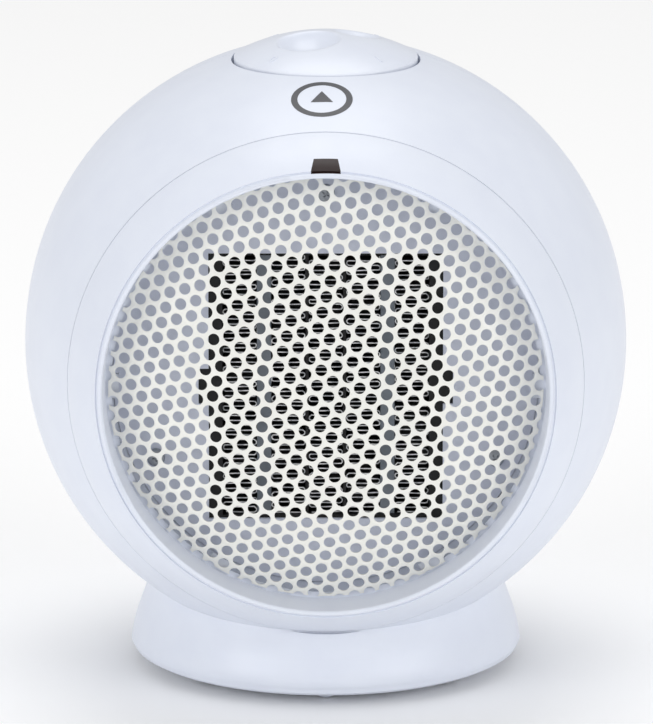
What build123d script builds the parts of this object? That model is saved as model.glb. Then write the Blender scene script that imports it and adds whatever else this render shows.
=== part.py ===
from build123d import *
import math
import os

# Ceramic fan heater with a ball-shaped body on a round foot.
# Millimetres, +Z up, front towards -Y, origin on the floor under the middle of the ball.

# Ball body
ball_radius = 100.0
ball_height = 111.0
barrel = 5.0
nose_reach = 110.0
wall = 2.5
seam_depth = -6.0
seam_bevel = 0.5
ball_back_depth = -83.5
back_hole_radius = 55.0

# Front bezel, depths are measured forward from the middle of the ball
bezel_depth = 63.7
seam_gap = 0.4
lip_depth = 79.4
lip_radius = 75.1
lip_round = 1.2
slope_radius = 71.9
lip_groove = 0.35
tab_depth = 66.8
tab_radius = 67.5
tab_half_width = 4.0
tab_angles = (60, 120, 180, 240, 300, 360)
skirt_wall = 2.0
skirt_back = 50.0
slope_wall = 2.2
tongue_length = 4.0
tongue_wall = 1.6

# Perforated outlet grille
grille_radius = 71.0
dome_radius = 182.0
dome_apex = 82.1
sheet = 0.8
hole_pitch = 5.26
hole_radius = 1.92
hole_margin = 0.6
lattice_turn = 15.1
lattice_x = 0.87
lattice_up = 0.46

# Baffle plate behind the grille
baffle_depth = 55.2
baffle_sheet = 1.2
window_half_width = 38.4
window_half_height = 44.9
window_drop = 3.2
notch_reach = 3.3
notch_height = 12.0
baffle_fit = 0.2
fixing_radius = 62.0
fixing_angles = (90, 206, 334)
post_radius = 3.6
post_length = 9.0
small_screw_radius = 1.5
small_head_radius = 3.0
small_head_height = 1.6

# Heating element
core_depth = 14.0
core_height = 88.0
fin_width = 11.3
fin_sheet = 0.35
fin_pitch = 1.64
bar_width = 4.6
joint_width = 1.0
frame_side = 8.0
frame_depth = 18.0
cutout_radius = 8.0
cutout_thickness = 6.0
fuse_radius = 2.0
fuse_length = 14.0

# Fan and motor
duct_radius = 44.0
duct_wall = 2.0
duct_box_depth = 16.0
duct_ring_back = -14.0
tip_radius = 42.0
hub_radius = 13.0
hub_half = 7.0
blade_count = 7
blade_chord = 22.0
blade_sheet = 1.4
blade_pitch = 35.0
shaft_radius = 2.0
running_gap = 0.05
bracket_thickness = 3.0
bracket_hub = 15.0
arm_width = 7.0
motor_radius = 19.0
motor_length = 28.0
motor_screw_offset = 11.0

# Back grille
back_plate_radius = 54.5
back_plate = 2.5
spigot_radius = 50.0
spigot_wall = 2.0
spigot_length = 3.0
slot_width = 3.0
slot_step = 5.4
spoke_width = 3.0
spoke_count = 8

# Shell screws
shell_screw_radius = 93.5
boss_radius = 4.6
tower_radius = 5.6
recess_radius = 3.8
recess_floor = -18.0
boss_length = 14.0

# Knob and switch, heights are measured up from the middle of the ball
knob_radius = 30.4
knob_gap = 0.9
knob_y = -3.7
knob_rim = 96.2
knob_top = 103.8
knob_bottom = 85.0
knob_wall = 2.4
knob_roof = 95.5
scoop_radius = 20.0
scoops = ((-6.5, -6.0, 99.3), (12.0, 9.0, 100.0))
stem_radius = 6.0
stem_bottom = 88.0
tray_floor = 82.0
tray_wall = 2.0
spindle_radius = 3.0
spindle_bottom = 68.0
spindle_top = 98.5
switch_side = 30.0
switch_height = 14.0
bush_radius = 4.7
bush_top = 86.5
nut_across = 14.0
nut_height = 2.2

# Pilot light
lens_half_width = 4.9
lens_back_half_width = 3.9
lens_back = 75.5
lens_front = 79.7
lamp_radius = 1.8
lamp_length = 10.0
lamp_height = 76.4

# Foot, heights are measured up from the floor
foot_levels = (7.0, 13.6, 19.1, 24.5, 31.0)
foot_half_widths = (65.2, 63.9, 62.1, 60.2, 59.4)
foot_half_depths = (65.2, 65.8, 64.5, 65.0, 61.0)
foot_wall = 2.5
plate_radius = 57.8
plate_bottom = 2.1
plate_top = 5.6
plate_bevel = 7.0
lip_bottom = 3.7
ring_clearance = 0.4
pad_radius = 5.0
pad_x = 31.0
pad_y = 24.0
foot_screw_x = 38.0
foot_screw_y = 34.0
foot_post_radius = 5.0
foot_screw_shank = 1.75
foot_screw_head = 3.2
foot_screw_recess = 2.2
foot_boss_top = 34.0
ballast_radius = 24.0
ballast_height = 4.4
wire_hole_radius = 9.0
wire_hole_y = 34.0

# Tip-over plunger and switch
plunger_y = -50.0
plunger_radius = 3.5
collar_radius = 4.6
collar_bottom = 8.0
collar_height = 1.2
pin_radius = 1.4
tip_switch_bottom = 12.2
tip_switch_height = 5.2
tip_switch_half_width = 6.4
tip_switch_half_depth = 3.2
tip_leg_width = 3.0
spring_inner = 2.0
spring_outer = 2.8

# Cord gland in the back of the foot
gland_height = 14.5
gland_radius = 5.5
gland_bore = 3.6
gland_flange = 7.5
gland_flange_length = 2.5
gland_inner_length = 7.0

big = 400.0
FACE = Plane(origin=(0, 0, ball_height), x_dir=(0, -1, 0), z_dir=(-1, 0, 0))
AIR_AXIS = Axis((0, 0, ball_height), (0, 1, 0))
frame_front = baffle_depth - baffle_sheet
frame_back = frame_front - frame_depth
frame_half_width = window_half_width + frame_side / 2
frame_half_height = window_half_height + frame_side / 2
duct_plate_back = frame_back - duct_box_depth - duct_wall
bracket_front = duct_ring_back
bracket_back = duct_ring_back - bracket_thickness
knob_hole = knob_radius + knob_gap


def along(depth_from, depth_to, radius, x=0.0, up=0.0, bore=0.0):
    """Round bar or tube along the air axis, between two depths."""
    length = depth_to - depth_from
    bar = Cylinder(radius, length)
    if bore > 0:
        bar -= Cylinder(bore, length)
    middle = (depth_from + depth_to) / 2
    return Plane(origin=(x, -middle, ball_height + up), z_dir=(0, -1, 0)) * bar


def upright(bottom, top, radius, x=0.0, y=0.0, bore=0.0):
    """Round bar or tube along Z, between two heights above the floor."""
    bar = Cylinder(radius, top - bottom)
    if bore > 0:
        bar -= Cylinder(bore, top - bottom)
    return Pos(x, y, (bottom + top) / 2) * bar


def block(x_from, x_to, depth_from, depth_to, up_from, up_to):
    """Box between two places on each axis, from the middle of the ball."""
    box = Box(x_to - x_from, depth_to - depth_from, up_to - up_from)
    return Pos((x_from + x_to) / 2, -(depth_from + depth_to) / 2, ball_height + (up_from + up_to) / 2) * box


def slab(depth_from, depth_to):
    """Everything between two depths."""
    return block(-big, big, depth_from, depth_to, -big, big)


def nose_at(depth, inset=0.0):
    """Radius of the front half of the ball at a depth."""
    share = (depth - barrel) / (nose_reach - inset)
    return (ball_radius - inset) * math.sqrt(1 - share * share)


def ball(inset=0.0):
    """The ball, or the hollow inside it when inset is the wall."""
    radius = ball_radius - inset
    reach = nose_reach - inset
    back = CenterArc((0, 0), radius, 90, 90)
    band = Line((0, radius), (barrel, radius))
    nose = EllipticalCenterArc((barrel, 0), reach, radius, 0, arc_size=90)
    axis = Line((-radius, 0), (barrel + reach, 0))
    return revolve(FACE * make_face(Curve() + [back, band, nose, axis]), AIR_AXIS)


def polar(radius, angle):
    """Place on a circle in the XZ plane."""
    return radius * math.cos(math.radians(angle)), radius * math.sin(math.radians(angle))


BALL = ball()
HOLLOW = ball(wall)
SKIN = BALL - HOLLOW
corner_places = [polar(shell_screw_radius, angle) for angle in (45, 135, 225, 315)]
post_places = [polar(fixing_radius, angle) for angle in fixing_angles]
front_foot_places = [(side * foot_screw_x, -foot_screw_y) for side in (-1, 1)]
back_foot_places = [(side * foot_screw_x, foot_screw_y) for side in (-1, 1)]
knob_cutter = upright(ball_height + knob_bottom - 20, ball_height + 2 * ball_radius, knob_hole, 0, knob_y)


def foot_bosses(places):
    """Screw bosses that stand inside the ball over the posts of the foot."""
    bosses = []
    for x, y in places:
        bosses.append(upright(0, foot_boss_top, foot_post_radius, x, y) & ball(wall / 2))
    return bosses


def foot_shanks(places):
    return [upright(plate_top, foot_boss_top - 2, foot_screw_shank, x, y) for x, y in places]


def seam_groove():
    """Small vee round the joint of the two half shells, shared by both."""
    over = ball_radius + seam_bevel
    edge = math.sqrt(ball_radius ** 2 - seam_depth ** 2) - seam_bevel
    vee = Polyline((seam_depth - seam_bevel, over), (seam_depth, edge), (seam_depth + seam_bevel, over), close=True)
    return revolve(FACE * make_face(vee), AIR_AXIS)


def front_shell():
    shell = SKIN & slab(seam_depth, bezel_depth)
    for x, up in corner_places:
        boss = along(seam_depth, seam_depth + boss_length, boss_radius, x, up)
        shell += boss & ball(wall / 2)
    shell += foot_bosses(front_foot_places)
    shell -= knob_cutter
    for x, up in corner_places:
        shell -= along(seam_depth, seam_depth + boss_length - 2, small_screw_radius, x, up)
    shell -= foot_shanks(front_foot_places)
    return shell - seam_groove()


def rear_shell():
    shell = SKIN & slab(ball_back_depth, seam_depth)
    towers = [along(-60, seam_depth, tower_radius, x, up) & ball(wall / 2) for x, up in corner_places]
    shell += towers
    shell += foot_bosses(back_foot_places)
    shell -= knob_cutter
    shell -= upright(0, ball_height / 2, wire_hole_radius, 0, wire_hole_y)
    for x, up in corner_places:
        shell -= along(-ball_radius, recess_floor, recess_radius, x, up)
        shell -= along(recess_floor, seam_depth, small_screw_radius, x, up)
    shell -= foot_shanks(back_foot_places)
    return shell - seam_groove()


def bezel_body():
    """Bezel ring with a hollow behind its lip and a skirt that reaches back."""
    start = bezel_depth + seam_gap
    outer_start = nose_at(start)
    inner_start = nose_at(start, wall)
    tongue_back = start - tongue_length
    tongue_outer = nose_at(tongue_back, wall)
    middle = (start + lip_depth) / 2
    middle_radius = (outer_start + lip_radius) / 2 + 1.1
    skirt_outer = slope_radius
    skirt_inner = slope_radius - skirt_wall
    front = ThreePointArc((start, outer_start), (middle, middle_radius), (lip_depth, lip_radius))
    groove_floor = (lip_depth - lip_groove, lip_radius - lip_groove)
    lip_start = (lip_depth, lip_radius - 2 * lip_groove)
    groove = Polyline((lip_depth, lip_radius), groove_floor, lip_start)
    lip_end = (lip_depth, lip_radius - 2 * lip_round)
    lip = ThreePointArc(lip_start, (lip_depth + lip_round * 0.8, lip_radius - lip_round - lip_groove), lip_end)
    rest = Polyline(
        lip_end,
        (tab_depth, slope_radius),
        (tab_depth, skirt_inner),
        (skirt_back, skirt_inner),
        (skirt_back, skirt_outer),
        (tab_depth, slope_radius + slope_wall),
        (lip_depth - 4 * lip_round, lip_radius - 0.9),
        (start, inner_start - tongue_wall),
        (tongue_back, tongue_outer - tongue_wall),
        (tongue_back, tongue_outer),
        (start, inner_start),
        (start, outer_start),
    )
    return revolve(FACE * make_face(Curve() + [front, groove, lip, rest]), AIR_AXIS)


def lens_cutter():
    outline = Polyline(
        (-lens_back_half_width, -lens_back), (lens_back_half_width, -lens_back),
        (lens_half_width, -lens_front), (-lens_half_width, -lens_front), close=True,
    )
    return Pos(0, 0, ball_height + lip_radius - 1.8) * extrude(make_face(outline), ball_radius - lip_radius)


def bezel_ring(body):
    ring = body - lens_cutter()
    for x, up in post_places:
        depth = frame_front
        post = along(depth - post_length, depth, post_radius, x, up)
        reach = math.hypot(x, up)
        rib = block(0, slope_radius - reach - 0.5, depth - post_length, depth - 1, -1, 1)
        angle = math.degrees(math.atan2(up, x))
        rib = Pos(0, 0, ball_height) * Rot(0, -angle, 0) * Pos(reach, 0, -ball_height) * rib
        ring += post
        ring += rib
    for angle in tab_angles:
        tab = block(tab_radius, slope_radius - 0.5, tab_depth - skirt_wall, tab_depth, -tab_half_width, tab_half_width)
        ring += Pos(0, 0, ball_height) * Rot(0, -angle, 0) * Pos(0, 0, -ball_height) * tab
    for x, up in post_places:
        ring -= along(frame_front - post_length + 1, frame_front, small_screw_radius, x, up)
    return ring - along(bezel_depth, lens_back, lamp_radius, 0, lamp_height)


def pilot_lens(body):
    return body & lens_cutter()


def pilot_lamp():
    front = lens_back - 1.0
    return along(front - lamp_length, front, lamp_radius, 0, lamp_height)


def outlet_grille():
    """Domed sheet with a hexagonal pattern of round holes, each square to the dome."""
    middle = dome_apex - dome_radius
    centre = Pos(0, -middle, ball_height)
    cap = centre * (Sphere(dome_radius) - Sphere(dome_radius - sheet))
    cap = cap & along(0, dome_apex + 1, grille_radius)
    count = int(grille_radius / hole_pitch * 1.3)
    turn = math.radians(lattice_turn)
    drills = []
    for i in range(-count, count + 1):
        for j in range(-count, count + 1):
            u = hole_pitch * (i + j / 2)
            v = hole_pitch * j * math.sqrt(3) / 2
            x = lattice_x + u * math.cos(turn) - v * math.sin(turn)
            z = lattice_up + u * math.sin(turn) + v * math.cos(turn)
            reach = math.hypot(x, z)
            if reach > grille_radius - hole_radius - hole_margin:
                continue
            tilt = reach / dome_radius
            way = math.atan2(z, x)
            out = Vector(math.sin(tilt) * math.cos(way), -math.cos(tilt), math.sin(tilt) * math.sin(way))
            drills.append(centre * (Plane(origin=out * dome_radius, z_dir=out) * Cylinder(hole_radius, 6 * sheet)))
    return cap - drills


def baffle_plate():
    plate = along(frame_front, baffle_depth, slope_radius - skirt_wall - baffle_fit)
    low = -window_drop - window_half_height
    high = -window_drop + window_half_height
    plate -= block(-window_half_width, window_half_width, frame_front, baffle_depth, low, high)
    side = window_half_width + notch_reach
    notch_low = -window_drop - notch_height / 2
    plate -= block(-side, side, frame_front, baffle_depth, notch_low, notch_low + notch_height)
    for x, up in post_places:
        plate -= along(frame_front, baffle_depth, small_screw_radius, x, up)
    return plate


def baffle_screw(x, up):
    head = along(baffle_depth, baffle_depth + small_head_height, small_head_radius, x, up)
    shank = along(baffle_depth - post_length, baffle_depth, small_screw_radius, x, up)
    return head + shank


half_core = (5 * fin_width + 2 * bar_width + 2 * joint_width) / 2
core_low = -window_drop - core_height / 2
core_high = -window_drop + core_height / 2
core_back = frame_front - 2 - core_depth
core_front = frame_front - 2


def element_frame():
    low = -window_drop - frame_half_height
    high = -window_drop + frame_half_height
    frame = block(-frame_half_width, frame_half_width, frame_back, frame_front, low, high)
    frame -= block(-half_core, half_core, frame_back, frame_front, core_low, core_high)
    return frame


def ribbon(points, thickness):
    """Face of a thin strip that follows a path of square corners."""
    left = []
    right = []
    last = len(points) - 1
    for index, (x, z) in enumerate(points):
        before = points[max(index - 1, 0)]
        after = points[min(index + 1, last)]
        steps = []
        for start, end in ((before, (x, z)), ((x, z), after)):
            length = math.hypot(end[0] - start[0], end[1] - start[1])
            if length > 0:
                steps.append(((start[1] - end[1]) / length, (end[0] - start[0]) / length))
        shift_x = sum(step[0] for step in steps) * thickness / 2
        shift_z = sum(step[1] for step in steps) * thickness / 2
        left.append((x + shift_x, z + shift_z))
        right.append((x - shift_x, z - shift_z))
    return make_face(Polyline(*(left + right[::-1]), close=True))


def fin_column(middle):
    """One strip folded to and fro into level fins."""
    reach = (fin_width - fin_sheet) / 2
    count = int((core_height - 2 * fin_sheet) / fin_pitch)
    points = []
    for index in range(count + 1):
        z = core_low + fin_sheet + index * fin_pitch
        side = reach if index % 2 == 0 else -reach
        points.append((middle - side, z))
        points.append((middle + side, z))
    strip = Plane(origin=(0, -core_back, ball_height), x_dir=(1, 0, 0), z_dir=(0, -1, 0)) * ribbon(points, fin_sheet)
    return extrude(strip, core_depth)


def upright_strip(middle, width):
    return block(middle - width / 2, middle + width / 2, core_back, core_front, core_low, core_high)


def thermal_cutout():
    top = -window_drop + frame_half_height
    middle = (frame_front + frame_back) / 2
    base = block(-cutout_radius, cutout_radius, frame_back, frame_front, top, top + 1)
    can = Pos(0, -middle, ball_height + top + 1 + cutout_thickness / 2) * Cylinder(cutout_radius, cutout_thickness)
    return base + can


def thermal_fuse():
    low = -window_drop - frame_half_height
    middle = (frame_front + frame_back) / 2
    rod = Rot(0, 90, 0) * Cylinder(fuse_radius, fuse_length)
    return Pos(0, -middle, ball_height + low - fuse_radius) * rod


def fan_duct():
    low = -window_drop - frame_half_height
    high = -window_drop + frame_half_height
    box_back = frame_back - duct_box_depth
    box = block(-frame_half_width, frame_half_width, box_back, frame_back, low, high)
    box -= block(
        -frame_half_width + duct_wall, frame_half_width - duct_wall, box_back, frame_back,
        low + duct_wall, high - duct_wall,
    )
    plate = block(
        -duct_radius - duct_wall, duct_radius + duct_wall, duct_plate_back, box_back,
        low, max(high, duct_radius + duct_wall),
    )
    ring = along(duct_ring_back, duct_plate_back, duct_radius + duct_wall)
    return box + plate + ring - along(duct_ring_back, box_back, duct_radius)


def impeller():
    hub = along(-hub_half, hub_half, hub_radius)
    length = tip_radius - hub_radius + 4
    blade = Box(length, blade_sheet, blade_chord)
    blade = Pos(hub_radius - 2 + length / 2, 0, 0) * Rot(blade_pitch - 90, 0, 0) * blade
    space = along(-hub_half - 1, hub_half + 1, tip_radius)
    fan = hub
    for index in range(blade_count):
        turn = Rot(0, index * 360 / blade_count, 0)
        fan += (Pos(0, 0, ball_height) * turn * blade) & space
    return fan - along(-hub_half, hub_half - 2, shaft_radius)


def motor_shaft():
    return along(bracket_back - motor_length + 4, hub_half - 2, shaft_radius)


def motor_bracket():
    bracket = along(bracket_back, bracket_front, bracket_hub)
    bracket += along(bracket_back, bracket_front, duct_radius + duct_wall, bore=duct_radius - 1)
    for index in range(3):
        arm = Box(duct_radius, bracket_thickness, arm_width)
        arm = Pos(duct_radius / 2 + 1, -(bracket_back + bracket_front) / 2, 0) * arm
        bracket += Pos(0, 0, ball_height) * Rot(0, 90 + index * 120, 0) * arm
    bracket -= along(bracket_back, bracket_front, 2 * shaft_radius)
    for side in (-1, 1):
        bracket -= along(bracket_back, bracket_front, small_screw_radius, side * motor_screw_offset)
    return bracket


def motor_body():
    motor = along(bracket_back - motor_length, bracket_back, motor_radius)
    motor -= along(bracket_back - motor_length + 2, bracket_back, shaft_radius + running_gap)
    for side in (-1, 1):
        motor -= along(bracket_back - 5, bracket_back, small_screw_radius, side * motor_screw_offset)
    return motor


def motor_screw(side):
    x = side * motor_screw_offset
    head = along(bracket_front, bracket_front + small_head_height, small_head_radius - 0.4, x)
    return head + along(bracket_back - 5, bracket_front, small_screw_radius, x)


def rear_grille():
    front = ball_back_depth
    plate = along(front - back_plate, front, back_plate_radius)
    spigot = along(front, front + spigot_length, spigot_radius, bore=spigot_radius - spigot_wall)
    slots = None
    radius = hub_radius
    while radius + slot_width < spigot_radius - spigot_wall:
        ring = along(front - back_plate, front, radius + slot_width, bore=radius)
        slots = ring if slots is None else slots + ring
        radius += slot_step
    for index in range(spoke_count // 2):
        spoke = Box(2 * back_plate_radius, 4 * back_plate, spoke_width)
        turn = Rot(0, index * 360 / spoke_count, 0)
        slots -= Pos(0, -front, ball_height) * turn * spoke
    return plate + spigot - slots


def shell_screw(x, up):
    head = along(recess_floor - 2 * small_head_height, recess_floor, small_head_radius, x, up)
    return head + along(recess_floor, seam_depth + boss_length - 2, small_screw_radius, x, up)


def control_tray():
    low = ball_height + tray_floor - tray_wall
    cup = upright(low, ball_height + ball_radius, knob_hole + tray_wall, 0, knob_y) & HOLLOW
    cup -= upright(ball_height + tray_floor, ball_height + ball_radius, knob_hole, 0, knob_y)
    return cup - upright(low, ball_height + tray_floor, bush_radius, 0, knob_y)


def knob():
    """Low dome with two scoops that leave a grip ridge between them."""
    crown = ThreePointArc(
        (-knob_radius, knob_rim), (0, knob_top), (knob_radius, knob_rim),
    )
    outline = Polyline(
        (knob_radius, knob_rim), (knob_radius, knob_bottom), (-knob_radius, knob_bottom), (-knob_radius, knob_rim),
    )
    half = make_face(Curve() + [crown, outline]) & Pos(knob_radius, knob_top / 2) * Rectangle(2 * knob_radius, 2 * knob_top)
    cap = Pos(0, knob_y, ball_height) * revolve(Plane.XZ * half, Axis.Z)
    cap -= upright(ball_height + knob_bottom, ball_height + knob_roof, knob_radius - knob_wall, 0, knob_y)
    for x, y, floor in scoops:
        cap -= Pos(x, knob_y + y, ball_height + floor + scoop_radius) * Sphere(scoop_radius)
    cap += upright(ball_height + stem_bottom, ball_height + knob_roof, stem_radius, 0, knob_y)
    return cap - upright(ball_height + stem_bottom, ball_height + spindle_top, spindle_radius, 0, knob_y)


def switch_spindle():
    return upright(ball_height + spindle_bottom, ball_height + spindle_top, spindle_radius, 0, knob_y)


def rotary_switch():
    top = tray_floor - tray_wall
    half = switch_side / 2
    body = block(-half, half, -knob_y - half, -knob_y + half, top - switch_height, top)
    body += upright(ball_height + top, ball_height + bush_top, bush_radius, 0, knob_y)
    hole = spindle_radius + running_gap
    return body - upright(ball_height + spindle_bottom, ball_height + bush_top, hole, 0, knob_y)


def switch_nut():
    nut = extrude(RegularPolygon(nut_across / 2, 6, major_radius=False), nut_height)
    nut = Pos(0, knob_y, ball_height + tray_floor) * nut
    return nut - upright(ball_height + tray_floor, ball_height + tray_floor + nut_height, bush_radius, 0, knob_y)


def foot_skirt(inset):
    rings = []
    for level, half_width, half_depth in zip(foot_levels, foot_half_widths, foot_half_depths):
        rings.append(Pos(0, 0, level) * Ellipse(half_width - inset, half_depth - inset).face())
    return loft(rings)


def foot_shell():
    base = foot_levels[0]
    outer = foot_half_widths[0]
    curl = Polyline(
        (outer - foot_wall, base), (outer, base), (outer - 0.7, base - 1.5), (outer - 2.9, base - 2.7),
        (plate_radius, lip_bottom), (plate_radius, plate_top), close=True,
    )
    shell = foot_skirt(0) - foot_skirt(foot_wall)
    shell += revolve(Plane.XZ * make_face(curl), Axis.Z)
    for x, y in front_foot_places + back_foot_places:
        shell += upright(plate_top, foot_boss_top, foot_post_radius, x, y)
        shell += rib_to_wall(x, y)
    shell -= BALL
    shell -= along(bezel_depth, ball_radius, nose_at(bezel_depth) + ring_clearance)
    shell -= foot_shanks(front_foot_places + back_foot_places)
    return shell - gland_hole(gland_radius) - gland_seat()


def rib_to_wall(x, y):
    """Thin wall that ties a screw post to the skirt of the foot."""
    reach = math.hypot(x, y)
    end = foot_half_widths[0] - foot_wall + 0.8
    rib = Box(end - reach, 2.0, foot_boss_top - plate_top)
    rib = Pos((reach + end) / 2, 0, (plate_top + foot_boss_top) / 2) * rib
    return (Rot(0, 0, math.degrees(math.atan2(y, x))) * rib) & foot_skirt(foot_wall / 2)


def gland_hole(radius):
    length = 2 * gland_inner_length
    bar = Rot(90, 0, 0) * Cylinder(radius, length)
    return Pos(0, foot_half_depths[1], gland_height) * bar


def gland_seat():
    back = foot_half_depths[1]
    return along(-back - gland_flange_length, -back, gland_flange, 0, gland_height - ball_height)


def base_plate():
    bevel = Polyline(
        (0, plate_bottom), (plate_radius - plate_bevel, plate_bottom), (plate_radius, lip_bottom),
        (plate_radius, plate_top), (0, plate_top), close=True,
    )
    plate = revolve(Plane.XZ * make_face(bevel), Axis.Z)
    for x, y in front_foot_places + back_foot_places:
        plate -= upright(0, plate_bottom + foot_screw_recess, foot_screw_head + 0.2, x, y)
        plate -= upright(plate_bottom, plate_top, foot_screw_shank, x, y)
    return plate - upright(0, plate_top, plunger_radius + running_gap, 0, plunger_y)


def foot_screw(x, y):
    bottom = plate_bottom + foot_screw_recess
    head = upright(bottom - 1.9, bottom, foot_screw_head, x, y)
    return head + upright(bottom, foot_boss_top - 2, foot_screw_shank, x, y)


def rubber_foot(x, y):
    return upright(0, plate_bottom, pad_radius, x, y)


def ballast():
    return upright(plate_top, plate_top + ballast_height, ballast_radius)


def tip_switch():
    middle = -plunger_y
    bottom = tip_switch_bottom - ball_height
    top = bottom + tip_switch_height
    half = tip_switch_half_width
    body = block(-half, half, middle - tip_switch_half_depth, middle + tip_switch_half_depth, bottom, top)
    for side in (-1, 1):
        near = side * half
        far = side * (half + tip_leg_width)
        body += block(
            min(near, far), max(near, far), middle - tip_switch_half_depth, middle + tip_switch_half_depth,
            plate_top - ball_height, top,
        )
    return body


def tip_spring():
    return upright(collar_bottom + collar_height, tip_switch_bottom, spring_outer, 0, plunger_y, spring_inner)


def tip_plunger():
    """Round-ended pin under the foot, pushed up by the floor."""
    pin = upright(plunger_radius / 2, collar_bottom, plunger_radius, 0, plunger_y)
    end = Pos(0, plunger_y, 1.25 * plunger_radius) * Sphere(1.25 * plunger_radius)
    pin += end & upright(0, plunger_radius, plunger_radius, 0, plunger_y)
    pin += upright(collar_bottom, collar_bottom + collar_height, collar_radius, 0, plunger_y)
    return pin + upright(collar_bottom, tip_switch_bottom, pin_radius, 0, plunger_y)


def cord_gland():
    back = foot_half_depths[1]
    bush = gland_seat()
    bush += along(-back, -back + gland_inner_length, gland_radius, 0, gland_height - ball_height)
    return bush - gland_hole(gland_bore)


os.makedirs("parts", exist_ok=True)
bezel = bezel_body()
pieces = {
    "front_shell": front_shell(),
    "rear_shell": rear_shell(),
    "bezel_ring": bezel_ring(bezel),
    "pilot_lens": pilot_lens(bezel),
    "pilot_lamp": pilot_lamp(),
    "outlet_grille": outlet_grille(),
    "baffle_plate": baffle_plate(),
    "element_frame": element_frame(),
    "thermal_cutout": thermal_cutout(),
    "thermal_fuse": thermal_fuse(),
    "fan_duct": fan_duct(),
    "impeller": impeller(),
    "motor_shaft": motor_shaft(),
    "motor_bracket": motor_bracket(),
    "motor_body": motor_body(),
    "rear_grille": rear_grille(),
    "control_tray": control_tray(),
    "knob": knob(),
    "switch_spindle": switch_spindle(),
    "rotary_switch": rotary_switch(),
    "switch_nut": switch_nut(),
    "foot_shell": foot_shell(),
    "base_plate": base_plate(),
    "ballast": ballast(),
    "tip_switch": tip_switch(),
    "tip_spring": tip_spring(),
    "tip_plunger": tip_plunger(),
    "cord_gland": cord_gland(),
}
for number, (x, up) in enumerate(post_places, 1):
    pieces[f"baffle_screw_{number}"] = baffle_screw(x, up)
for number, (x, up) in enumerate(corner_places, 1):
    pieces[f"shell_screw_{number}"] = shell_screw(x, up)
for number, side in enumerate((-1, 1), 1):
    pieces[f"motor_screw_{number}"] = motor_screw(side)
for number, (x, y) in enumerate(front_foot_places + back_foot_places, 1):
    pieces[f"foot_screw_{number}"] = foot_screw(x, y)
for number, (side, way) in enumerate(((-1, -1), (1, -1), (-1, 1), (1, 1), (0, 0)), 1):
    pieces[f"rubber_foot_{number}"] = rubber_foot(side * pad_x, way * pad_y)

# Element core from left to right: fins, bar, fins, joint, fins, joint, fins, bar, fins
edge = -half_core
fins = bars = joints = 0
for kind in ("fin", "bar", "fin", "joint", "fin", "joint", "fin", "bar", "fin"):
    width = {"fin": fin_width, "bar": bar_width, "joint": joint_width}[kind]
    middle = edge + width / 2
    if kind == "fin":
        fins += 1
        pieces[f"fin_column_{fins}"] = fin_column(middle)
    elif kind == "bar":
        bars += 1
        pieces[f"ptc_bar_{bars}"] = upright_strip(middle, bar_width)
    else:
        joints += 1
        pieces[f"joint_plate_{joints}"] = upright_strip(middle, joint_width)
    edge += width

for name, piece in pieces.items():
    export_step(piece, f"parts/{name}.step", write_pcurves=name != "outlet_grille")
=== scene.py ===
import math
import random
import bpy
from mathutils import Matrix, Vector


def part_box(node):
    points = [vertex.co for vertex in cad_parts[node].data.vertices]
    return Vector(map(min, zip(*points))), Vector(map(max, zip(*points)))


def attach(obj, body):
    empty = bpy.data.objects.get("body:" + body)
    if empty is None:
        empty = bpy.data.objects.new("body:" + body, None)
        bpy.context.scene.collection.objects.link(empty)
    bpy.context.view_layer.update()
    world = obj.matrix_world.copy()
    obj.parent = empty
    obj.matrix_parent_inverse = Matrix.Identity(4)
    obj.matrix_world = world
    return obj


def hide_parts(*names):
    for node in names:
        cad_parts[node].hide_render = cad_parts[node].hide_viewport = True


bl_info = {
    "name": "Ceramic fan heater dressing",
    "version": (1, 0, 0),
    "blender": (4, 5, 0),
    "location": "View3D > Sidebar > Heater",
    "description": "Adds the grille, knob, print, fins, screws and finishes to the packed heater",
    "category": "Object",
}

import bpy
from bpy.props import FloatProperty, FloatVectorProperty, IntProperty, PointerProperty, StringProperty
from bpy.types import Operator, Panel, PropertyGroup
from mathutils import Matrix, Vector

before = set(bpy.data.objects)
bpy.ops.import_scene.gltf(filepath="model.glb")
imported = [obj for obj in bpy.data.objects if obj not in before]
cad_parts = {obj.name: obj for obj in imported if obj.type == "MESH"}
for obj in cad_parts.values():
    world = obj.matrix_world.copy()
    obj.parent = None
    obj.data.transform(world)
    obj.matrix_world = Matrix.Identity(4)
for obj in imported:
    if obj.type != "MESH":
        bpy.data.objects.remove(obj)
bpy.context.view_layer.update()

MM = 0.001
DOME_LOW, DOME_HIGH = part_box("outlet_grille")
KNOB_LOW, KNOB_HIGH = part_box("knob")
SHELL_LOW, SHELL_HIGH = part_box("front_shell")
BALL_RADIUS = (SHELL_HIGH.x - SHELL_LOW.x) / 2
BALL_HEIGHT = 111 * MM
WELD = 0.01 * MM

SENSOR = 36
PICTURE_ROWS = 724
AIM_DOWN_PIXELS = 27.2
AIM_RIGHT_PIXELS = 0.7
SIDE_LAMP = Vector((1.9, -1.6, 0.9))
TOP_LAMP = Vector((0.0, 0.6, 2.4))
SIDE_LAMP_SIZE = 1.4
TOP_LAMP_SIZE = 1.6
TOP_LAMP_SHARE = 1.1
ROOM_STRENGTH = 0.55
FLOOR_SIZE = 12

KNOB_RINGS = 44
KNOB_SPOKES = 144
KNOB_EDGE = 0.6 * MM
KNOB_WALL = 2.4 * MM
KNOB_ROOF = 95.5 * MM
KNOB_CHAMFER = 0.3 * MM
NUMBER_SHARE = 0.81
NUMBER_DEPTH = 0.4 * MM
NUMBER_SOFTNESS = 0.05 * MM
NUMBER_SINK = 0.3 * MM
NUMBER_ANGLES = (225, 315, 45, 135)

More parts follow.
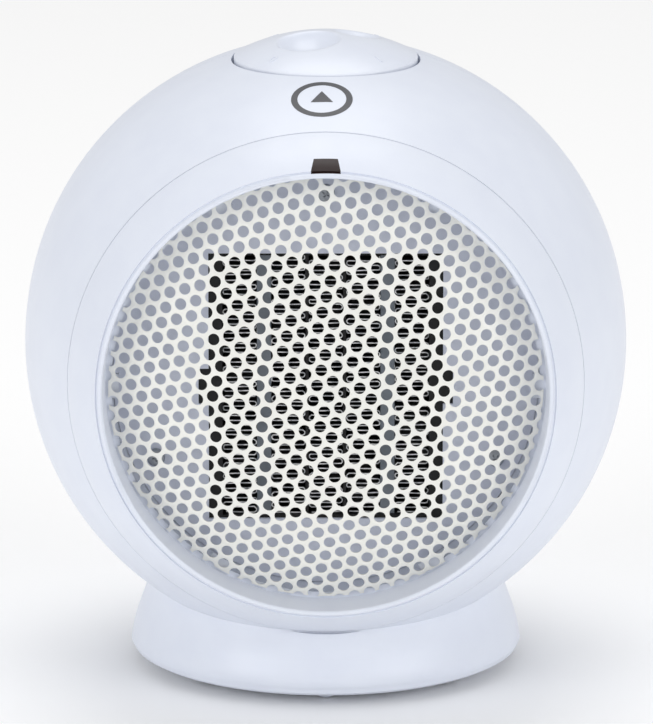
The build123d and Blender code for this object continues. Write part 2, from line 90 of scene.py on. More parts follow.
BARREL = 5 * MM
NOSE_REACH = 110 * MM
PRINT_SPOT = Vector((-1.3 * MM, -48.1 * MM, BALL_HEIGHT + 92 * MM))
PRINT_UP = Vector((0, 0.93, 0.36)).normalized()
RING_RADIUS = 10.1 * MM
RING_STROKE = 2.1 * MM
POINTER_RADIUS = 4.2 * MM
INK_LIFT = 0.02 * MM
INK_DEPTH = 0.06 * MM

FIN_PITCH = 1.64 * MM
FIN_WANDER = 0.18 * MM
FIN_TILT = 0.16 * MM
FIN_METAL = 0.3 * MM
FIN_SIDE_GAP = 0.2 * MM
FIN_END_GAP = 0.3 * MM
FOLD_STEPS = 4
FOLD_STEP_DEGREES = 36


def linear(code):
    """Linear colour of an sRGB hex code."""
    channels = [int(code[start:start + 2], 16) / 255 for start in (1, 3, 5)]
    return [c / 12.92 if c <= 0.04045 else ((c + 0.055) / 1.055) ** 2.4 for c in channels] + [1.0]


def add_node(tree, kind, inputs=None, **settings):
    """Adds a node with its settings, its socket values and its links."""
    node = tree.nodes.new(kind)
    for name, value in settings.items():
        setattr(node, name, value)
    for socket, value in (inputs or {}).items():
        if isinstance(value, bpy.types.NodeSocket):
            tree.links.new(value, node.inputs[socket])
        else:
            node.inputs[socket].default_value = value
    return node


def new_material(name):
    """Empty node material with its output, returned with its tree."""
    made = bpy.data.materials.new(name)
    made.use_nodes = True
    made.node_tree.nodes.clear()
    return made, made.node_tree


def grained(name, dark, light, grain, roughness, spread, bump, metallic=0.0, coat=0.0, ior=1.5, blotch=12.0):
    """Moulded, cast, painted or rolled surface: fine grain in the height and the gloss, slow drift in colour.
    """
    made, tree = new_material(name)
    place = add_node(tree, "ShaderNodeTexCoord")
    drift = add_node(
        tree, "ShaderNodeTexNoise",
        {"Vector": place.outputs["Object"], "Scale": 1 / (blotch * MM), "Detail": 3.0}
    )
    fine = add_node(
        tree, "ShaderNodeTexNoise",
        {"Vector": place.outputs["Object"], "Scale": 1 / (grain * MM), "Detail": 2.0}
    )
    colour = add_node(tree, "ShaderNodeValToRGB", {"Fac": drift.outputs["Fac"]})
    colour.color_ramp.elements[0].position = 0.3
    colour.color_ramp.elements[0].color = linear(dark)
    colour.color_ramp.elements[1].position = 0.7
    colour.color_ramp.elements[1].color = linear(light)
    gloss = add_node(tree, "ShaderNodeMapRange", {
        "Value": fine.outputs["Fac"], "To Min": roughness - spread, "To Max": roughness + spread})
    height = add_node(
        tree, "ShaderNodeBump",
        {"Height": fine.outputs["Fac"], "Strength": bump, "Distance": 0.1 * MM}
    )
    shader = add_node(tree, "ShaderNodeBsdfPrincipled", {
        "Base Color": colour.outputs["Color"], "Roughness": gloss.outputs["Result"],
        "Normal": height.outputs["Normal"], "Metallic": metallic, "Coat Weight": coat, "IOR": ior})
    add_node(tree, "ShaderNodeOutputMaterial", {"Surface": shader.outputs["BSDF"]})
    return made


def brushed(name, dark, light, roughness, stretch):
    """Rolled or turned metal: fine lines along one way, seen as streaks in the gloss."""
    made, tree = new_material(name)
    place = add_node(tree, "ShaderNodeTexCoord")
    turned = add_node(tree, "ShaderNodeMapping", {"Vector": place.outputs["Object"], "Scale": stretch})
    lines = add_node(
        tree, "ShaderNodeTexNoise",
        {"Vector": turned.outputs["Vector"], "Scale": 1 / (0.6 * MM), "Detail": 3.0}
    )
    colour = add_node(tree, "ShaderNodeValToRGB", {"Fac": lines.outputs["Fac"]})
    colour.color_ramp.elements[0].color = linear(dark)
    colour.color_ramp.elements[1].color = linear(light)
    gloss = add_node(tree, "ShaderNodeMapRange", {
        "Value": lines.outputs["Fac"], "To Min": roughness - 0.1, "To Max": roughness + 0.1})
    height = add_node(
        tree, "ShaderNodeBump",
        {"Height": lines.outputs["Fac"], "Strength": 0.15, "Distance": 0.05 * MM}
    )
    shader = add_node(tree, "ShaderNodeBsdfPrincipled", {
        "Base Color": colour.outputs["Color"], "Roughness": gloss.outputs["Result"],
        "Normal": height.outputs["Normal"], "Metallic": 1.0})
    add_node(tree, "ShaderNodeOutputMaterial", {"Surface": shader.outputs["BSDF"]})
    return made


def cut_strip(name, face, edge, front, depth):
    """Aluminium strip with painted light: a painted highlight in front of a depth, and painted shade on the
    faces behind it.
    """
    made, tree = new_material(name)
    place = add_node(tree, "ShaderNodeTexCoord")
    axes = add_node(tree, "ShaderNodeSeparateXYZ", {"Vector": place.outputs["Object"]})
    # painted shade: the colour turns dark behind the front edge, where the faces lie deep between the folds
    behind = add_node(tree, "ShaderNodeMapRange", {
        "Value": axes.outputs["Y"], "From Min": front, "From Max": front + depth})
    streaks = add_node(
        tree, "ShaderNodeTexNoise",
        {"Vector": place.outputs["Object"], "Scale": 1 / (2.5 * MM), "Detail": 2.0}
    )
    # painted highlight: the front edge is coloured bright grey to white
    painted_edge_highlight = add_node(tree, "ShaderNodeValToRGB", {"Fac": streaks.outputs["Fac"]})
    painted_edge_highlight.color_ramp.elements[0].position = 0.4
    painted_edge_highlight.color_ramp.elements[0].color = linear(edge[0])
    painted_edge_highlight.color_ramp.elements[1].position = 0.6
    painted_edge_highlight.color_ramp.elements[1].color = linear(edge[1])
    colour = add_node(tree, "ShaderNodeMixRGB", {
        "Fac": behind.outputs["Result"], "Color1": painted_edge_highlight.outputs["Color"], "Color2": linear(face)})
    height = add_node(
        tree, "ShaderNodeBump",
        {"Height": streaks.outputs["Fac"], "Strength": 0.2, "Distance": 0.1 * MM}
    )
    shader = add_node(tree, "ShaderNodeBsdfPrincipled", {
        "Base Color": colour.outputs["Color"], "Roughness": 0.45, "Normal": height.outputs["Normal"]})
    add_node(tree, "ShaderNodeOutputMaterial", {"Surface": shader.outputs["BSDF"]})
    return made


def clear_lens(name, tint, roughness, clear):
    """Tinted clear moulding: light goes through and comes out dark and coloured."""
    made, tree = new_material(name)
    place = add_node(tree, "ShaderNodeTexCoord")
    ripple = add_node(tree, "ShaderNodeTexWave", {"Vector": place.outputs["Object"], "Scale": 1 / (1.2 * MM)})
    height = add_node(
        tree, "ShaderNodeBump",
        {"Height": ripple.outputs["Fac"], "Strength": 0.2, "Distance": 0.1 * MM}
    )
    shader = add_node(tree, "ShaderNodeBsdfPrincipled", {
        "Base Color": linear(tint), "Roughness": roughness, "Normal": height.outputs["Normal"],
        "Transmission Weight": clear, "IOR": 1.49})
    add_node(tree, "ShaderNodeOutputMaterial", {"Surface": shader.outputs["BSDF"]})
    return made


def clear_selection():
    if bpy.context.object and bpy.context.object.mode != "OBJECT":
        bpy.ops.object.mode_set(mode="OBJECT")
    bpy.ops.object.select_all(action="DESELECT")


def pick(piece):
    """Makes one object the only one selected."""
    clear_selection()
    bpy.context.view_layer.objects.active = piece
    piece.select_set(True)


def edit(piece):
    pick(piece)
    bpy.ops.object.mode_set(mode="EDIT")
    bpy.ops.mesh.select_all(action="SELECT")


def leave_edit():
    bpy.ops.object.mode_set(mode="OBJECT")


def settle(piece, angle=30.0):
    """Puts the object at the origin with its place in its mesh, and shades it smooth up to an angle."""
    pick(piece)
    bpy.ops.object.transform_apply(location=True, rotation=True, scale=True)
    bpy.ops.object.shade_smooth_by_angle(angle=math.radians(angle), keep_sharp_edges=True)
    clear_selection()


def finish_piece(piece, name, body, material, replaced=(), angle=30.0):
    """Names a piece, gives it its finish and ties it to its body."""
    settle(piece, angle)
    piece.name = name
    piece.data.name = name
    piece.data.materials.clear()
    piece.data.materials.append(material)
    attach(piece, body)
    if replaced:
        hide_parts(*replaced)


def apply_modifier(piece, kind, name, **settings):
    """Adds a modifier with its settings and applies it."""
    pick(piece)
    modifier = piece.modifiers.new(name, kind)
    for setting, value in settings.items():
        setattr(modifier, setting, value)
    bpy.ops.object.modifier_apply(modifier=name)


def lathe(name, profile, steps=96):
    """Closed ring or dome: a line of points of radius and height, spun round Z."""
    clear_selection()
    bpy.ops.mesh.primitive_plane_add(size=1, location=(0, 0, 0))
    piece = bpy.context.object
    piece.name = name
    mesh = piece.data
    mesh.clear_geometry()
    points = [(radius, 0, height) for radius, height in profile]
    mesh.from_pydata(points, [(i, i + 1) for i in range(len(points) - 1)], [])
    edit(piece)
    bpy.ops.mesh.spin(steps=steps, angle=math.tau, center=(0, 0, 0), axis=(0, 0, 1))
    bpy.ops.mesh.select_all(action="SELECT")
    bpy.ops.mesh.remove_doubles(threshold=0.001 * MM)
    bpy.ops.mesh.normals_make_consistent(inside=False)
    leave_edit()
    return piece


def cut(piece, tool):
    """Takes one mesh out of another and removes the tool."""
    apply_modifier(piece, "BOOLEAN", "cut", operation="DIFFERENCE", object=tool, solver="EXACT")
    bpy.data.objects.remove(tool)


def copy_of(piece, name):
    """Copy with its own mesh."""
    twin = piece.copy()
    twin.data = piece.data.copy()
    twin.name = name
    bpy.context.collection.objects.link(twin)
    return twin


FINISHES = {}


def make_finishes(colours):
    """All finishes, named for the real material and how it was made, save the fin strip, whose colours are
    painted shade and a painted highlight.
    """
    # Injection-moulded ABS with a fine satin texture, it spreads soft highlights over the ball
    FINISHES["moulded_abs"] = grained(
        "moulded_abs", colours.shell_dark, colours.shell_light, 0.5, 0.38, 0.05, 0.06
    )
    # The same ABS in a polished mould, the knob catches a tighter highlight
    FINISHES["polished_abs"] = grained(
        "polished_abs", colours.shell_dark, colours.shell_light, 2.5, 0.3, 0.03, 0.004
    )
    # Powder-coated perforated steel, warm white with a slight orange-peel height
    FINISHES["powder_coat"] = grained("powder_coat", "#E4E4DF", "#EBEBE6", 1.2, 0.45, 0.05, 0.08)
    # Blue-grey stoved enamel on the baffle, flat and even behind the grille
    FINISHES["stoved_enamel"] = grained("stoved_enamel", "#D6DBEA", "#DFE4F2", 0.9, 0.55, 0.05, 0.05)
    # Glass-filled black nylon, heat-proof and matte so the inside stays dark
    FINISHES["filled_nylon"] = grained("filled_nylon", "#08080A", "#101013", 0.6, 0.6, 0.08, 0.15)
    # Rolled aluminium strip, its cut edges shine as thin lines
    FINISHES["rolled_aluminium"] = brushed("rolled_aluminium", "#B9BBBD", "#DCDDDF", 0.35, (1.0, 8.0, 1.0))
    # Folded aluminium fins: painted shade darkens the faces behind the front edge, and a painted highlight
    # makes the front edges thin bright lines
    fin_low, fin_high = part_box("fin_column_1")
    FINISHES["cut_strip"] = cut_strip(
        "cut_strip", "#17181A", ("#B9BCC0", "#FFFFFF"), fin_low.y + 0.2 * MM, 0.5 * MM
    )
    # Silicone-coated heater bars, dull grey with faint streaks
    FINISHES["coated_bar"] = grained("coated_bar", "#676E76", "#7D848D", 0.8, 0.5, 0.08, 0.1)
    # Zinc-plated steel, cool grey with turned lines
    FINISHES["zinc_plate"] = brushed("zinc_plate", "#8E9298", "#C2C6CC", 0.38, (1.0, 1.0, 6.0))
    # Drawn steel of the motor can and bracket
    FINISHES["drawn_steel"] = brushed("drawn_steel", "#6E7176", "#A2A5AA", 0.4, (1.0, 5.0, 1.0))
    # Dark red clear acrylic of the pilot window
    FINISHES["red_acrylic"] = clear_lens("red_acrylic", "#1E0605", 0.3, 0.05)
    # Clear lamp glass
    FINISHES["lamp_glass"] = clear_lens("lamp_glass", "#F0C0A0", 0.05, 0.8)
    # Moulded rubber of the feet and the cord bush
    FINISHES["moulded_rubber"] = grained("moulded_rubber", "#161616", "#202020", 0.5, 0.75, 0.08, 0.25)
    # Sand-cast iron of the weight in the foot
    FINISHES["cast_iron"] = grained("cast_iron", "#2A2A2B", "#3D3D3F", 1.5, 0.65, 0.1, 0.5, metallic=0.6)
    # Phenolic switch housings
    FINISHES["phenolic"] = grained("phenolic", "#141416", "#1E1E21", 0.7, 0.45, 0.06, 0.12)
    # Pad-printed grey ink, thin and slightly shiny
    FINISHES["pad_print"] = grained("pad_print", "#3A3B40", "#47484D", 0.6, 0.4, 0.05, 0.05)


NODE_FINISHES = {
    "front_shell": "moulded_abs", "rear_shell": "moulded_abs", "bezel_ring": "moulded_abs",
    "foot_shell": "moulded_abs", "base_plate": "moulded_abs", "rear_grille": "moulded_abs",
    "control_tray": "moulded_abs", "knob": "polished_abs",
    "outlet_grille": "powder_coat", "baffle_plate": "stoved_enamel", "element_frame": "filled_nylon",
    "fan_duct": "filled_nylon", "impeller": "filled_nylon", "fin_column": "rolled_aluminium",
    "joint_plate": "filled_nylon", "ptc_bar": "coated_bar", "thermal_cutout": "drawn_steel",
    "thermal_fuse": "drawn_steel", "motor_bracket": "drawn_steel", "motor_body": "drawn_steel",
    "motor_shaft": "drawn_steel", "motor_screw": "zinc_plate", "baffle_screw": "zinc_plate",
    "shell_screw": "zinc_plate", "foot_screw": "zinc_plate", "switch_nut": "zinc_plate",
    "switch_spindle": "drawn_steel", "tip_spring": "drawn_steel", "rotary_switch": "phenolic",
    "tip_switch": "phenolic", "tip_plunger": "moulded_abs", "pilot_lens": "red_acrylic",
    "pilot_lamp": "lamp_glass",
    "rubber_foot": "moulded_rubber", "cord_gland": "moulded_rubber", "ballast": "cast_iron",
}


class HeaterColours(PropertyGroup):
    shell_dark: StringProperty(
        name="Shell shade", description="Darker drift of the shell plastic", default="#DCE1ED"
    )
    shell_light: StringProperty(
        name="Shell light", description="Lighter drift of the shell plastic", default="#DFE4EF"
    )


class HeaterGrille(PropertyGroup):
    dome_radius: FloatProperty(
        name="Dome radius", description="Radius of the domed sheet", default=182 * MM, unit="LENGTH"
    )
    pitch: FloatProperty(
        name="Hole pitch", description="Distance between hole middles", default=5.26 * MM,
        unit="LENGTH"
    )
    hole_radius: FloatProperty(
        name="Hole radius", description="Radius of each hole", default=1.92 * MM, unit="LENGTH"
    )
    sheet: FloatProperty(name="Sheet", description="Thickness of the sheet", default=0.8 * MM, unit="LENGTH")
    turn: FloatProperty(
        name="Pattern turn", description="Turn of the hole pattern", default=math.radians(15.1),
        subtype="ANGLE"
    )
    shift_x: FloatProperty(
        name="Pattern shift X", description="Sideways shift of the hole pattern", default=0.87 * MM,
        unit="LENGTH"
    )
    shift_z: FloatProperty(
        name="Pattern shift Z", description="Upward shift of the hole pattern", default=0.46 * MM,
        unit="LENGTH"
    )
    burr: FloatProperty(
        name="Hole burr", description="Height of the rolled edge round each hole", default=0.1 * MM,
        unit="LENGTH"
    )
    segments: IntProperty(
        name="Hole corners", description="Corners round each hole", default=24, min=12, max=36
    )


class HeaterKnob(PropertyGroup):
    crown: FloatProperty(
        name="Crown", description="Height of the dome's top above the ball's middle",
        default=103.8 * MM, unit="LENGTH"
    )
    rim: FloatProperty(
        name="Rim", description="Height of the dome's rim above the ball's middle", default=96.2 * MM,
        unit="LENGTH"
    )
    scoop_radius: FloatProperty(
        name="Scoop radius", description="Radius of the finger scoops", default=13.5 * MM,
        unit="LENGTH"
    )
    front_scoop: FloatVectorProperty(
        name="Front scoop", description="Place of the front scoop's floor from the knob's axis", default=(
            -6.5 * MM, -6 * MM, 97.4 * MM
        ), subtype="XYZ")
    back_scoop: FloatVectorProperty(
        name="Back scoop", description="Place of the back scoop's floor from the knob's axis", default=(
            12 * MM, 9 * MM, 99.2 * MM
        ), subtype="XYZ")
    softness: FloatProperty(
        name="Edge softness", description="How softly the scoops run out", default=0.18 * MM,
        unit="LENGTH"
    )
    letter_size: FloatProperty(
        name="Number size", description="Height of the embossed numbers", default=5 * MM,
        unit="LENGTH"
    )


class HeaterStage(PropertyGroup):
    distance: FloatProperty(
        name="Camera distance", description="From the middle of the ball", default=3.0, unit="LENGTH"
    )
    elevation: FloatProperty(
        name="Camera elevation", description="Angle above level", default=math.radians(14.5),
        subtype="ANGLE"
    )
    focal: FloatProperty(name="Focal length", description="For a 36 mm tall sensor", default=447.3)
    key_power: FloatProperty(
        name="Key light", description="Power of the main soft light", default=19.0, unit="POWER"
    )


class HEATER_OT_finishes(Operator):
    """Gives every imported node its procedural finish"""
    bl_idname = "heater.finishes"
    bl_label = "Finish the packed nodes"

    def execute(self, context):
        make_finishes(context.scene.heater_colours)
        for name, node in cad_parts.items():
            stem = name.rstrip("0123456789").rstrip("_")
            finish = FINISHES[NODE_FINISHES[stem]]
            for slot in node.material_slots:
                slot.material = finish
        return {"FINISHED"}


class HEATER_OT_grille(Operator):
    """Models the domed perforated sheet with its cut holes at the rim"""
    bl_idname = "heater.grille"
    bl_label = "Outlet grille"

    def execute(self, context):
        sizes = context.scene.heater_grille
        clear_selection()
        bpy.ops.mesh.primitive_circle_add(
            vertices=sizes.segments, radius=sizes.hole_radius, fill_type="NOTHING"
        )
        sheet = context.object
        edit(sheet)
        bpy.ops.mesh.extrude_region_move(TRANSFORM_OT_translate={"value": (0, 0, sizes.burr)})
        bpy.ops.transform.resize(value=(1.1, 1.1, 1))
        bpy.ops.mesh.extrude_region_move(TRANSFORM_OT_translate={"value": (0, 0, -sizes.burr)})
        leave_edit()
        side = math.radians(60)
        for vertex in sheet.data.vertices:
            if vertex.select:
                angle = math.atan2(vertex.co.y, vertex.co.x)
                angle = round(angle / math.tau * sizes.segments) / sizes.segments * math.tau
                off = (angle + side / 2) % side - side / 2
                reach = sizes.pitch / 2 / math.cos(off)
                vertex.co = (reach * math.cos(angle), reach * math.sin(angle), 0)
        rim = (DOME_HIGH.z - DOME_LOW.z) / 2
        arc = sizes.dome_radius * math.asin(rim / sizes.dome_radius)
        row = sizes.pitch * math.sqrt(3) / 2
        count = 2 * math.ceil(arc / row) + 1
        apply_modifier(
            sheet, "ARRAY", "along", count=count, use_relative_offset=False, use_constant_offset=True,
            constant_offset_displace=(sizes.pitch, 0, 0), use_merge_vertices=True, merge_threshold=WELD)
        apply_modifier(
            sheet, "ARRAY", "across", count=count, use_relative_offset=False, use_constant_offset=True,
            constant_offset_displace=(sizes.pitch / 2, row, 0),
            use_merge_vertices=True, merge_threshold=WELD)
        half = (count - 1) / 2
        sheet.data.transform(Matrix.Translation((-half * 1.5 * sizes.pitch, -half * row, 0)))
        sheet.data.transform(Matrix.Rotation(sizes.turn, 4, "Z"))
        sheet.data.transform(Matrix.Translation((sizes.shift_x, sizes.shift_z, 0)))
        edit(sheet)
        bpy.ops.mesh.remove_doubles(threshold=WELD)
        corners = 72
        for index in range(corners):
            angle = math.tau * index / corners
            out = Vector((math.cos(angle), math.sin(angle), 0))
            bpy.ops.mesh.select_all(action="SELECT")
            bpy.ops.mesh.bisect(plane_co=out * arc, plane_no=out, clear_outer=True)
        bpy.ops.mesh.select_all(action="SELECT")
        bpy.ops.mesh.delete_loose()
        leave_edit()
        middle = -DOME_LOW.y - sizes.dome_radius
        for vertex in sheet.data.vertices:
            reach = math.hypot(vertex.co.x, vertex.co.y)
            way = math.atan2(vertex.co.y, vertex.co.x)
            tilt = reach / sizes.dome_radius
            across = sizes.dome_radius * math.sin(tilt)
            depth = middle + sizes.dome_radius * math.cos(tilt) + vertex.co.z
            vertex.co = (across * math.cos(way), -depth, BALL_HEIGHT + across * math.sin(way))
        apply_modifier(sheet, "SOLIDIFY", "wall", thickness=sizes.sheet, offset=-1)
        finish_piece(
            sheet, "domed_grille", "housing", FINISHES["powder_coat"],
            ["outlet_grille"], 40
        )
        return {"FINISHED"}


def lower_of(first, second, softness):
    """The lower of two heights, with the corner between them rounded."""
    gap = (first - second) / softness
    if abs(gap) > 30:
        return min(first, second)
    return second - softness * math.log(1 + math.exp(-gap))


class HEATER_OT_knob(Operator):
    """Models the knob cap with its finger scoops and numbers"""
    bl_idname = "heater.knob"
    bl_label = "Control knob"

    def execute(self, context):
        sizes = context.scene.heater_knob
        radius = (KNOB_HIGH.x - KNOB_LOW.x) / 2
        axis_y = (KNOB_HIGH.y + KNOB_LOW.y) / 2
        rise = sizes.crown - sizes.rim
        sphere = (radius ** 2 + rise ** 2) / 2 / rise

        def dome(reach):
            return sizes.crown - sphere + math.sqrt(sphere ** 2 - reach ** 2)

        inner = radius - KNOB_EDGE
        reaches = [inner * ring / KNOB_RINGS for ring in range(KNOB_RINGS + 1)]
        profile = [(reach, dome(reach)) for reach in reaches]
        start = profile[-1][1] - KNOB_EDGE
        for step in range(1, 5):
            angle = math.radians(90 * step / 4)
            profile.append((inner + KNOB_EDGE * math.sin(angle), start + KNOB_EDGE * math.cos(angle)))
        floor = KNOB_LOW.z - BALL_HEIGHT
        profile += [(radius, floor + KNOB_CHAMFER), (radius - KNOB_CHAMFER, floor)]
        profile += [(radius - KNOB_WALL, floor), (radius - KNOB_WALL, KNOB_ROOF), (0, KNOB_ROOF)]
        cap = lathe("cap", profile, KNOB_SPOKES)
        for vertex in cap.data.vertices:
            x, y, z = vertex.co
            if z > KNOB_ROOF + WELD:
                for scoop in (sizes.front_scoop, sizes.back_scoop):
                    off = (x - scoop[0]) ** 2 + (y - scoop[1]) ** 2
                    if off < sizes.scoop_radius ** 2:
                        bowl = scoop[2] + sizes.scoop_radius - math.sqrt(sizes.scoop_radius ** 2 - off)
                        z = lower_of(z, bowl, sizes.softness)
                vertex.co.z = z
        cap.data.transform(Matrix.Translation((0, axis_y, BALL_HEIGHT)))
        finish_piece(cap, "knob_cap", "knob_body", FINISHES["polished_abs"], ["knob"], 35)
        for number, angle in enumerate(NUMBER_ANGLES):
            clear_selection()
            bpy.ops.object.text_add(location=(0, 0, 0))
            figure = context.object
            figure.data.body = str(number)
            figure.data.size = sizes.letter_size
            figure.data.align_x = "CENTER"
            figure.data.align_y = "CENTER"
            figure.data.extrude = NUMBER_DEPTH
            figure.data.bevel_depth = NUMBER_SOFTNESS
            pick(figure)
            bpy.ops.object.convert(target="MESH")
            figure = context.object
            reach = radius * NUMBER_SHARE
            face = Matrix.Rotation(math.radians(90), 4, "Z")
            lean = Matrix.Rotation(math.asin(reach / sphere), 4, "Y")
            out = Matrix.Translation((reach, 0, dome(reach) - NUMBER_SINK))
            turn = Matrix.Rotation(math.radians(angle), 4, "Z")
            stand = Matrix.Translation((0, axis_y, BALL_HEIGHT))
            figure.data.transform(stand @ turn @ out @ lean @ face)
            finish_piece(figure, f"knob_number_{number}", "knob_body", FINISHES["polished_abs"])
        return {"FINISHED"}


def on_ball(point, lift):
    """Moves a point of the front half on to the skin of the ball, with a small lift."""
    middle = Vector((0, -BARREL, BALL_HEIGHT))
    away = point - middle
    size = math.sqrt((away.y / NOSE_REACH) ** 2 + (away.x ** 2 + away.z ** 2) / BALL_RADIUS ** 2)
    return middle + away / size * (1 + lift / BALL_RADIUS)


class HEATER_OT_print(Operator):
    """Adds the plain printed ring and its pointer in front of the knob"""
    bl_idname = "heater.print"
    bl_label = "Printed ring"

    def execute(self, context):
        across = Vector((1, 0, 0))
        heart = on_ball(PRINT_SPOT, 0)
        clear_selection()
        bpy.ops.mesh.primitive_circle_add(vertices=96, radius=RING_RADIUS, fill_type="NOTHING")
        ring = context.object
        edit(ring)
        bpy.ops.mesh.extrude_region_move(TRANSFORM_OT_translate={"value": (0, 0, 0)})
        bpy.ops.transform.resize(value=((RING_RADIUS - RING_STROKE) / RING_RADIUS,) * 3)
        leave_edit()
        clear_selection()
        bpy.ops.mesh.primitive_circle_add(vertices=3, radius=POINTER_RADIUS, fill_type="NGON")
        arrow = context.object
        edit(arrow)
        bpy.ops.mesh.subdivide(number_cuts=4)
        leave_edit()
        for piece, name in ((ring, "printed_ring"), (arrow, "printed_pointer")):
            for vertex in piece.data.vertices:
                vertex.co = on_ball(heart + across * vertex.co.x + PRINT_UP * vertex.co.y, INK_LIFT)
            edit(piece)
            bpy.ops.mesh.normals_make_consistent(inside=False)
            leave_edit()
            apply_modifier(piece, "SOLIDIFY", "ink", thickness=INK_DEPTH, offset=0)
            finish_piece(piece, name, "housing", FINISHES["pad_print"])
        return {"FINISHED"}


class HEATER_OT_fins(Operator):
    """Models the folded fins of the heating element with rounded folds"""
    bl_idname = "heater.fins"
    bl_label = "Heating fins"

    def execute(self, context):
        chance = random.Random(7)
        for column in range(1, 6):
            name = f"fin_column_{column}"
            low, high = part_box(name)
            count = int((high.z - low.z) / FIN_PITCH)
            middle = (low.x + high.x) / 2
            reach = (high.x - low.x) / 2 - FIN_PITCH / 2 - FIN_SIDE_GAP
            points = []
            for index in range(count):
                side = 1 if index % 2 == 0 else -1
                z = low.z + FIN_END_GAP + index * FIN_PITCH
                z += chance.uniform(-FIN_WANDER, FIN_WANDER)
                tilt = chance.uniform(-FIN_TILT, FIN_TILT)
                points.append((middle - side * reach, low.y, z - tilt))
                points.append((middle, low.y, z))
                points.append((middle + side * reach, low.y, z + tilt))
                for step in range(1, FOLD_STEPS + 1):
                    angle = math.radians(-90 + FOLD_STEP_DEGREES * step)
                    points.append((
                        middle + side * (reach + FIN_PITCH / 2 * math.cos(angle)),
                        low.y,
                        z + FIN_PITCH / 2 + FIN_PITCH / 2 * math.sin(angle),
                    ))
            clear_selection()
            bpy.ops.mesh.primitive_plane_add(size=1, location=(0, 0, 0))
            strip = context.object
            strip.data.clear_geometry()
            strip.data.from_pydata(points, [(i, i + 1) for i in range(len(points) - 1)], [])
            edit(strip)
            bpy.ops.mesh.extrude_region_move(TRANSFORM_OT_translate={"value": (0, high.y - low.y, 0)})
            leave_edit()
            apply_modifier(strip, "SOLIDIFY", "metal", thickness=FIN_METAL, offset=0)
            # the fins get painted shade on their faces and a painted highlight on their front edges
            finish_piece(
                strip, f"folded_fins_{column}", "housing", FINISHES["cut_strip"], [name],
                40
            )
        return {"FINISHED"}


def make_screw(head_radius, head_height, shank_radius, length):
    """Pan head screw with a cross recess, its head's seat at the origin and pointing up."""
    profile = [
        (0, head_height), (head_radius * 0.55, head_height * 0.96), (head_radius * 0.85, head_height * 0.78),
        (
            head_radius, head_height * 0.4
        ), (head_radius, 0), (shank_radius, 0), (shank_radius, -length), (0, -length),
    ]
    screw = lathe("screw", profile, 40)
    for turn in (0, 90):
        clear_selection()
        bpy.ops.mesh.primitive_cube_add(size=1, location=(0, 0, head_height))
        slot = bpy.context.object
        slot.scale = (head_radius * 1.15, head_radius * 0.26, head_height * 0.9)
        slot.rotation_euler = (0, 0, math.radians(turn))
        bpy.ops.object.transform_apply(location=True, rotation=True, scale=True)
        edit(slot)
        bpy.ops.mesh.select_all(action="DESELECT")
        leave_edit()
        for vertex in slot.data.vertices:
            if vertex.co.z < head_height:
                vertex.co.x *= 0.45
                vertex.co.y *= 0.45
        cut(screw, slot)
    return screw


class HEATER_OT_screws(Operator):
    """Replaces the plain screws by cross-headed ones"""
    bl_idname = "heater.screws"
    bl_label = "Screws"

    def execute(self, context):
        forward = Matrix.Rotation(math.radians(90), 4, "X")
        backward = Matrix.Rotation(math.radians(-90), 4, "X")
        down = Matrix.Rotation(math.radians(180), 4, "X")
        sets = (
            ("baffle_screw", 3, forward, 3.0, 1.6, 1.5, "y"),
            ("motor_screw", 2, forward, 2.6, 1.6, 1.5, "y"),
            ("shell_screw", 4, backward, 3.0, 3.2, 1.5, "-y"),
            ("foot_screw", 4, down, 3.2, 1.9, 1.75, "-z"),
        )
        for stem, count, turn, head_radius, head_height, shank_radius, way in sets:
            model = None
            for number in range(1, count + 1):
                node = f"{stem}_{number}"
                low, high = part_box(node)
                if model is None:
                    long = (high.z - low.z) if way == "-z" else (high.y - low.y)
                    model = make_screw(
                        head_radius * MM, head_height * MM, shank_radius * MM, long - head_height * MM
                    )
                piece = copy_of(model, node + "_cross")
                place = (low + high) / 2
                if way == "y":
                    place.y = low.y + head_height * MM
                elif way == "-y":
                    place.y = high.y - head_height * MM
                else:
                    place.z = low.z + head_height * MM
                spin = Matrix.Rotation(math.radians(23 + 37 * number), 4, "Z")
                piece.data.transform(Matrix.Translation(place) @ turn @ spin)
                finish_piece(
                    piece, f"{stem}_cross_{number}", "housing", FINISHES["zinc_plate"],
                    [node]
                )
            bpy.data.objects.remove(model)
        return {"FINISHED"}


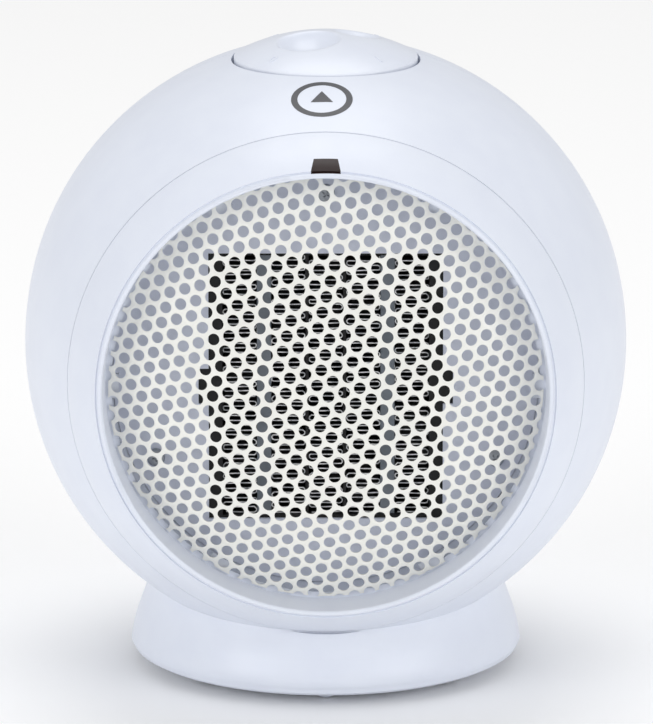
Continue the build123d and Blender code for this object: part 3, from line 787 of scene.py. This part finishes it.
class HEATER_OT_stage(Operator):
    """Adds the pale floor, the soft lights and the camera"""
    bl_idname = "heater.stage"
    bl_label = "Stage"

    def execute(self, context):
        sizes = context.scene.heater_stage
        clear_selection()
        bpy.ops.mesh.primitive_plane_add(size=FLOOR_SIZE, location=(0, 0, 0))
        floor = context.object
        floor.name = "floor"
        made, tree = new_material("paper_sweep")
        place = add_node(tree, "ShaderNodeTexCoord")
        fibre = add_node(tree, "ShaderNodeTexNoise", {"Vector": place.outputs["Object"], "Scale": 900.0})
        gloss = add_node(
            tree, "ShaderNodeMapRange",
            {"Value": fibre.outputs["Fac"], "To Min": 0.85, "To Max": 0.95}
        )
        shader = add_node(tree, "ShaderNodeBsdfPrincipled", {
            "Base Color": linear("#FFFFFF"), "Roughness": gloss.outputs["Result"], "Specular IOR Level": 0.1})
        add_node(tree, "ShaderNodeOutputMaterial", {"Surface": shader.outputs["BSDF"]})
        floor.data.materials.append(made)

        world = bpy.data.worlds.new("studio")
        world.use_nodes = True
        world.node_tree.nodes["Background"].inputs["Color"].default_value = linear("#FFFFFF")
        world.node_tree.nodes["Background"].inputs["Strength"].default_value = ROOM_STRENGTH
        context.scene.world = world

        lamps = (
            ("left", SIDE_LAMP * Vector((-1, 1, 1)), SIDE_LAMP_SIZE, sizes.key_power),
            ("right", SIDE_LAMP, SIDE_LAMP_SIZE, sizes.key_power),
            ("top", TOP_LAMP, TOP_LAMP_SIZE, sizes.key_power * TOP_LAMP_SHARE),
        )
        for name, spot, size, power in lamps:
            clear_selection()
            bpy.ops.object.light_add(type="AREA", location=spot)
            lamp = context.object
            lamp.name = name
            lamp.data.size = size
            lamp.data.energy = power
            aim = Vector((0, 0, BALL_HEIGHT)) - spot
            lamp.rotation_euler = aim.to_track_quat("-Z", "Y").to_euler()

        heart = Vector((0, 0, BALL_HEIGHT))
        back = Vector((0, -math.cos(sizes.elevation), math.sin(sizes.elevation)))
        up = Vector((0, math.sin(sizes.elevation), math.cos(sizes.elevation)))
        pixel = SENSOR * MM / PICTURE_ROWS
        scale = sizes.distance / (sizes.focal * MM) * pixel
        aim = heart - up * AIM_DOWN_PIXELS * scale + Vector((1, 0, 0)) * AIM_RIGHT_PIXELS * scale
        clear_selection()
        bpy.ops.object.camera_add(location=heart + back * sizes.distance)
        camera = context.object
        camera.data.sensor_fit = "VERTICAL"
        camera.data.sensor_height = SENSOR
        camera.data.sensor_width = SENSOR
        camera.data.lens = sizes.focal
        camera.rotation_euler = (aim - camera.location).to_track_quat("-Z", "Y").to_euler()
        context.scene.camera = camera
        context.scene.view_settings.view_transform = "Standard"
        return {"FINISHED"}


class HEATER_PT_panel(Panel):
    """Sizes, colours and steps of the heater's dressing"""
    bl_label = "Heater"
    bl_idname = "HEATER_PT_panel"
    bl_space_type = "VIEW_3D"
    bl_region_type = "UI"
    bl_category = "Heater"

    def draw(self, context):
        layout = self.layout
        for group in GROUPS:
            sizes = getattr(context.scene, group)
            for name in sizes.__annotations__:
                layout.prop(sizes, name)
        for step in STEPS:
            layout.operator(step.bl_idname)


GROUPS = {
    "heater_colours": HeaterColours,
    "heater_grille": HeaterGrille,
    "heater_knob": HeaterKnob,
    "heater_stage": HeaterStage,
}
STEPS = (
    HEATER_OT_finishes, HEATER_OT_grille, HEATER_OT_knob, HEATER_OT_print, HEATER_OT_fins, HEATER_OT_screws,
    HEATER_OT_stage,
)


def register():
    for group in GROUPS.values():
        bpy.utils.register_class(group)
    for step in STEPS:
        bpy.utils.register_class(step)
    bpy.utils.register_class(HEATER_PT_panel)
    for name, group in GROUPS.items():
        setattr(bpy.types.Scene, name, PointerProperty(type=group))


def unregister():
    for name in GROUPS:
        delattr(bpy.types.Scene, name)
    bpy.utils.unregister_class(HEATER_PT_panel)
    for step in reversed(STEPS):
        bpy.utils.unregister_class(step)
    for group in reversed(list(GROUPS.values())):
        bpy.utils.unregister_class(group)


def main():
    register()
    for step in STEPS:
        space, name = step.bl_idname.split(".")
        getattr(getattr(bpy.ops, space), name)()


if __name__ == "__main__":
    main()
